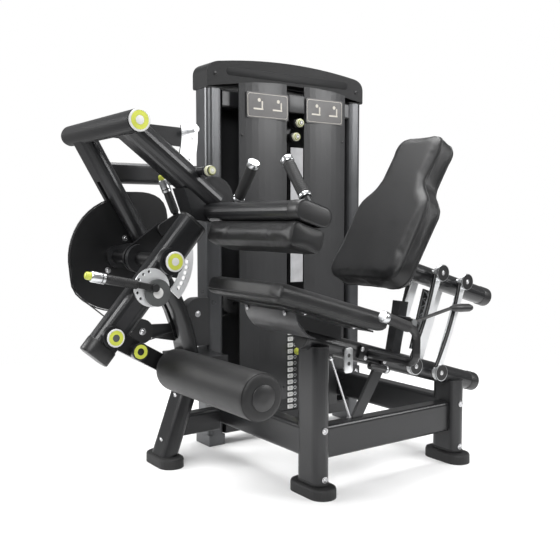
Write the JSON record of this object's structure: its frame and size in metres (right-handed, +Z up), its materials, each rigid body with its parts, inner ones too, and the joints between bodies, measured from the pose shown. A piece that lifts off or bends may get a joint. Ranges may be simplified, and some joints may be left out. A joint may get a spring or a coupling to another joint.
{
  "type": "leg extension machine",
  "caption": "Seated leg extension and leg curl machine with a side weight tower, cam drive, roller arm, thigh hold-down and reclining backrest.",
  "frame": {"origin": "centre of the footprint on the floor", "axes": "+X to the sitter's left, away from the weight tower; +Y from the roller towards the backrest; +Z up"},
  "size_m": [1.043, 1.4912, 1.497],
  "materials": {
    "frame_paint": "satin metallic powder coat",
    "column_paint": "satin metallic powder coat, lighter grey",
    "panel_paint": "matt textured paint",
    "black_paint": "satin black paint",
    "black_plastic": "moulded black plastic",
    "foot_rubber": "moulded black rubber",
    "upholstery": "soft black vinyl over foam",
    "chrome": "polished chrome",
    "cast_plates": "black painted iron"
  },
  "bodies": {
    "frame": {"front_seat_post": "frame_paint", "rear_seat_post": "frame_paint", "front_post_foot": "foot_rubber", "rear_post_foot": "foot_rubber", "outer_leg_foot": "foot_rubber", "seat_cross_member": "frame_paint", "seat_beam": "frame_paint", "seat_pad": "upholstery", "seat_guard": "column_paint", "side_handle_left": "black_paint", "side_handle_right": "black_paint", "outer_leg": "frame_paint", "leg_side_beam": "frame_paint", "front_cross_beam": "frame_paint", "rear_cross_beam": "frame_paint", "tower_front_column": "column_paint", "tower_rear_column": "column_paint", "tower_base_beam": "frame_paint", "tower_top_beam": "frame_paint", "tower_cap": "black_paint", "front_shroud": "panel_paint", "rear_shroud": "panel_paint", "back_cover": "panel_paint", "guide_rod_front": "chrome", "guide_rod_rear": "chrome", "resting_plates": "cast_plates", "add_on_weight_upper": "black_paint", "add_on_weight_lower": "black_paint", "inclined_post": "frame_paint", "tower_strut": "frame_paint", "pulley_housing": "panel_paint", "lift_cable": "black_plastic", "stack_cable": "black_plastic", "thigh_pivot_tube": "frame_paint", "thigh_sector": "chrome"},
    "cam": {"cam_disc": "black_paint", "cam_cable": "black_plastic", "main_shaft": "black_paint", "start_sector": "chrome"},
    "range_selector": {"range_lever": "black_plastic"},
    "movement_arm": {"movement_beam": "frame_paint", "index_disc": "chrome"},
    "start_selector": {"start_lever": "black_plastic"},
    "shin_arm": {"roller_arm": "black_paint"},
    "shin_roller": {"foot_roller": "upholstery"},
    "thigh_hold": {"thigh_arm": "frame_paint", "thigh_pad": "upholstery"},
    "thigh_pin": {"thigh_pull_pin": "black_plastic"},
    "idler": {"idler_pulley": "black_plastic"},
    "lower_sheave": {"lower_pulley": "black_plastic"},
    "top_sheave_front": {"top_pulley_front": "black_plastic"},
    "top_sheave_rear": {"top_pulley_rear": "black_plastic"},
    "stack": {"head_plate": "cast_plates", "lifted_plates": "cast_plates"},
    "weight_pin": {"selector_pin": "black_plastic"},
    "front_back_link": {"front_link": "chrome"},
    "rear_back_link": {"rear_link": "chrome"},
    "backrest": {"back_carriage": "frame_paint", "back_pad": "upholstery"},
    "back_release": {"release_lever": "black_plastic"}
  },
  "joints": [
    {"name": "cam_turn", "type": "hinge", "parent": "frame", "child": "cam", "pos_m": [-0.3015, -0.4607, 0.748], "axis": [-1, 0, 0], "range_deg": [0, 75]},
    {"name": "arm_start", "type": "hinge", "parent": "cam", "child": "movement_arm", "pos_m": [-0.0165, -0.4607, 0.748], "axis": [-1, 0, 0], "range_deg": [-12, 24]},
    {"name": "shin_arm_tilt", "type": "hinge", "parent": "movement_arm", "child": "shin_arm", "pos_m": [-0.0165, -0.6547, 0.527], "axis": [-1, 0, 0], "range_deg": [-8, 10]},
    {"name": "roller_spin", "type": "hinge", "parent": "shin_arm", "child": "shin_roller", "pos_m": [0.2645, -0.4497, 0.408], "axis": [1, 0, 0], "continuous": true},
    {"name": "start_lever_swing", "type": "hinge", "parent": "movement_arm", "child": "start_selector", "pos_m": [0.0385, -0.5227, 0.669], "axis": [1, 0, 0], "range_deg": [0, 10]},
    {"name": "range_lever_swing", "type": "hinge", "parent": "cam", "child": "range_selector", "pos_m": [-0.2145, -0.3617, 0.845], "axis": [1, 0, 0], "range_deg": [0, 10]},
    {"name": "thigh_swing", "type": "hinge", "parent": "frame", "child": "thigh_hold", "pos_m": [-0.0695, -0.5767, 1.17], "axis": [1, 0, 0], "range_deg": [0, 26.8]},
    {"name": "thigh_pin_pull", "type": "slide", "parent": "thigh_hold", "child": "thigh_pin", "axis": [1, 0, 0], "range_m": [0, 0.018], "stiffness_N_per_m": 500},
    {"name": "stack_lift", "type": "slide", "parent": "frame", "child": "stack", "axis": [0, 0, 1], "range_m": [0, 0.26], "deforming": ["stack_cable"]},
    {"name": "weight_pin_pull", "type": "slide", "parent": "stack", "child": "weight_pin", "axis": [1, 0, 0], "range_m": [0, 0.06]},
    {"name": "idler_spin", "type": "hinge", "parent": "frame", "child": "idler", "pos_m": [-0.3965, -0.3647, 0.472], "axis": [-1, 0, 0], "range_deg": [-5, 365]},
    {"name": "lower_sheave_spin", "type": "hinge", "parent": "frame", "child": "lower_sheave", "pos_m": [-0.3965, 0.0303, 0.553], "axis": [-1, 0, 0], "range_deg": [-5, 365]},
    {"name": "top_front_spin", "type": "hinge", "parent": "frame", "child": "top_sheave_front", "pos_m": [-0.3965, 0.1103, 1.25], "axis": [1, 0, 0], "range_deg": [-5, 365]},
    {"name": "top_rear_spin", "type": "hinge", "parent": "frame", "child": "top_sheave_rear", "pos_m": [-0.3965, 0.2603, 1.25], "axis": [1, 0, 0], "range_deg": [-5, 365]},
    {"name": "back_slide", "type": "hinge", "parent": "frame", "child": "front_back_link", "pos_m": [0.2585, 0.3083, 0.38], "axis": [1, 0, 0], "range_deg": [0, 22]},
    {"name": "rear_link_turn", "type": "hinge", "parent": "frame", "child": "rear_back_link", "pos_m": [0.2585, 0.4333, 0.3432], "axis": [1, 0, 0], "range_deg": [-0.5, 22.5]},
    {"name": "back_level", "type": "hinge", "parent": "front_back_link", "child": "backrest", "pos_m": [0.2585, 0.4333, 0.693], "axis": [1, 0, 0], "range_deg": [-22.5, 0.5]},
    {"name": "release_swing", "type": "hinge", "parent": "frame", "child": "back_release", "pos_m": [0.3485, 0.2663, 0.536], "axis": [1, 0, 0], "range_deg": [0, 8]}
  ],
  "couplings": [
    {"joint": "stack_lift", "follows": "cam_turn", "m_per_rad": 0.19},
    {"joint": "idler_spin", "follows": "cam_turn", "ratio": 4.75},
    {"joint": "lower_sheave_spin", "follows": "cam_turn", "ratio": 4.75},
    {"joint": "top_front_spin", "follows": "cam_turn", "ratio": 4.75},
    {"joint": "top_rear_spin", "follows": "cam_turn", "ratio": 4.75},
    {"joint": "rear_link_turn", "follows": "back_slide", "ratio": 1},
    {"joint": "back_level", "follows": "back_slide", "ratio": -1}
  ]
}
